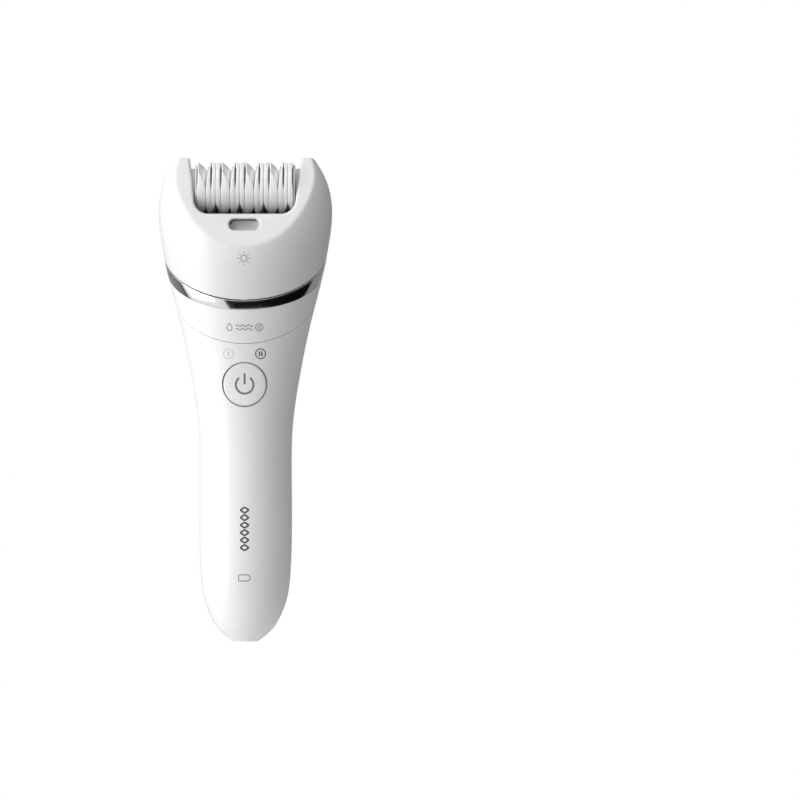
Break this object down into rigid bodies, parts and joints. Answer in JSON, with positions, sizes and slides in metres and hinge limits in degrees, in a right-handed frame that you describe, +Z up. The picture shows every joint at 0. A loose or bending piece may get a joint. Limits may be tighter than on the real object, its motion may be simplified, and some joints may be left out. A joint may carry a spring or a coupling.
{
  "type": "epilator",
  "caption": "Cordless hand-held epilator: a tapering handle with power button and a lift-off head carrying a spinning drum of wavy tweezer discs.",
  "frame": {"origin": "centre of the charging socket's mouth at the handle's lower tip", "axes": "+Z up the handle towards the head, -Y is the front with the power button, +X is the right side seen from the front"},
  "size_m": [0.0624, 0.0427, 0.174],
  "materials": {
    "white_shell": "satin-gloss moulded",
    "head_shell": "satin-gloss moulded",
    "chrome_trim": "mirror-plated plastic",
    "button_face": "gloss moulded",
    "dark_trim": "fine-grained",
    "inner_plastic": "as moulded",
    "pale_plastic": "as moulded",
    "clear_plastic": "diffusing",
    "ceramic_disc": "ground",
    "steel": "turned",
    "motor_steel": "drawn",
    "gear_acetal": "moulded",
    "rubber": "moulded",
    "battery_wrap": "shrink film",
    "board": "solder mask",
    "magnet": "sintered",
    "copper_tin": "plated",
    "nickel": "plated"
  },
  "bodies": {
    "handle": {"front_shell": "white_shell", "rear_shell": "white_shell", "neck_collar": "white_shell", "chrome_ring": "chrome_trim", "neck_bulkhead": "inner_plastic", "shaft_seal": "rubber", "chassis": "pale_plastic", "chassis_screws": "steel", "battery_cell": "battery_wrap", "battery_contacts": "nickel", "circuit_board": "board", "power_switch": "steel", "indicator_lamps": "clear_plastic", "light_pipes": "clear_plastic", "button_bezel": "dark_trim", "button_membrane": "rubber", "charging_socket": "dark_trim", "socket_contacts": "nickel", "motor_can": "motor_steel", "motor_magnets": "magnet", "motor_end_cap": "pale_plastic", "motor_brushes": "copper_tin", "motor_clamp": "steel", "work_lamp": "clear_plastic", "release_spring": "steel"},
    "rotor": {"rotor_core": "magnet", "motor_shaft": "steel", "commutator": "copper_tin", "drive_dog": "gear_acetal"},
    "power_button": {"power_button": "button_face"},
    "release_button": {"release_button": "pale_plastic"},
    "head": {"head_shell": "head_shell", "head_frame": "inner_plastic", "head_base": "inner_plastic", "gear_cover": "steel", "light_lens": "clear_plastic", "light_guide": "clear_plastic", "drum_bearings": "copper_tin", "layshaft_bushes": "copper_tin", "input_bush": "copper_tin", "head_screws": "steel", "head_seal": "rubber", "idler_axle": "steel"},
    "idler": {"idler_gear": "gear_acetal"},
    "layshaft": {"layshaft": "steel", "crown_gear": "gear_acetal", "layshaft_gear": "gear_acetal"},
    "input_drive": {"input_shaft": "steel", "input_pinion": "gear_acetal"},
    "drum": {"drum_shaft": "steel", "drum_gear": "gear_acetal", "drum_end_caps": "pale_plastic", "tweezer_pair_1": "ceramic_disc", "tweezer_pair_2": "ceramic_disc", "tweezer_pair_3": "ceramic_disc", "tweezer_pair_4": "ceramic_disc", "tweezer_pair_5": "ceramic_disc", "tweezer_pair_6": "ceramic_disc", "tweezer_pair_7": "ceramic_disc", "tweezer_pair_8": "ceramic_disc"}
  },
  "joints": [
    {"name": "head_release", "type": "slide", "parent": "handle", "child": "head", "axis": [0, 0, 1], "range_m": [0, 0.035]},
    {"name": "drum_spin", "type": "hinge", "parent": "head", "child": "drum", "pos_m": [0, 0, 0.1624], "axis": [1, 0, 0], "continuous": true},
    {"name": "idler_spin", "type": "hinge", "parent": "head", "child": "idler", "pos_m": [0, 0.0009, 0.15224], "axis": [1, 0, 0], "continuous": true},
    {"name": "layshaft_spin", "type": "hinge", "parent": "head", "child": "layshaft", "pos_m": [0, 0.002, 0.1397], "axis": [1, 0, 0], "continuous": true},
    {"name": "input_spin", "type": "hinge", "parent": "head", "child": "input_drive", "pos_m": [0, 0.002, 0.13], "axis": [0, 0, 1], "continuous": true},
    {"name": "motor_spin", "type": "hinge", "parent": "handle", "child": "rotor", "pos_m": [0, 0.002, 0.1], "axis": [0, 0, 1], "continuous": true},
    {"name": "power_press", "type": "slide", "parent": "handle", "child": "power_button", "axis": [0, 0.9914, 0.1305], "range_m": [0, 0.0005], "stiffness_N_per_m": 1500, "springref_m": -0.0003},
    {"name": "release_press", "type": "slide", "parent": "handle", "child": "release_button", "axis": [0, -1, 0], "range_m": [0, 0.0012], "stiffness_N_per_m": 1200, "springref_m": -0.0005, "deforming": ["release_spring"]}
  ],
  "couplings": [
    {"joint": "idler_spin", "follows": "drum_spin", "ratio": -0.54545},
    {"joint": "layshaft_spin", "follows": "drum_spin", "ratio": 0.6},
    {"joint": "input_spin", "follows": "drum_spin", "ratio": 1.92},
    {"joint": "motor_spin", "follows": "drum_spin", "ratio": 1.92}
  ]
}
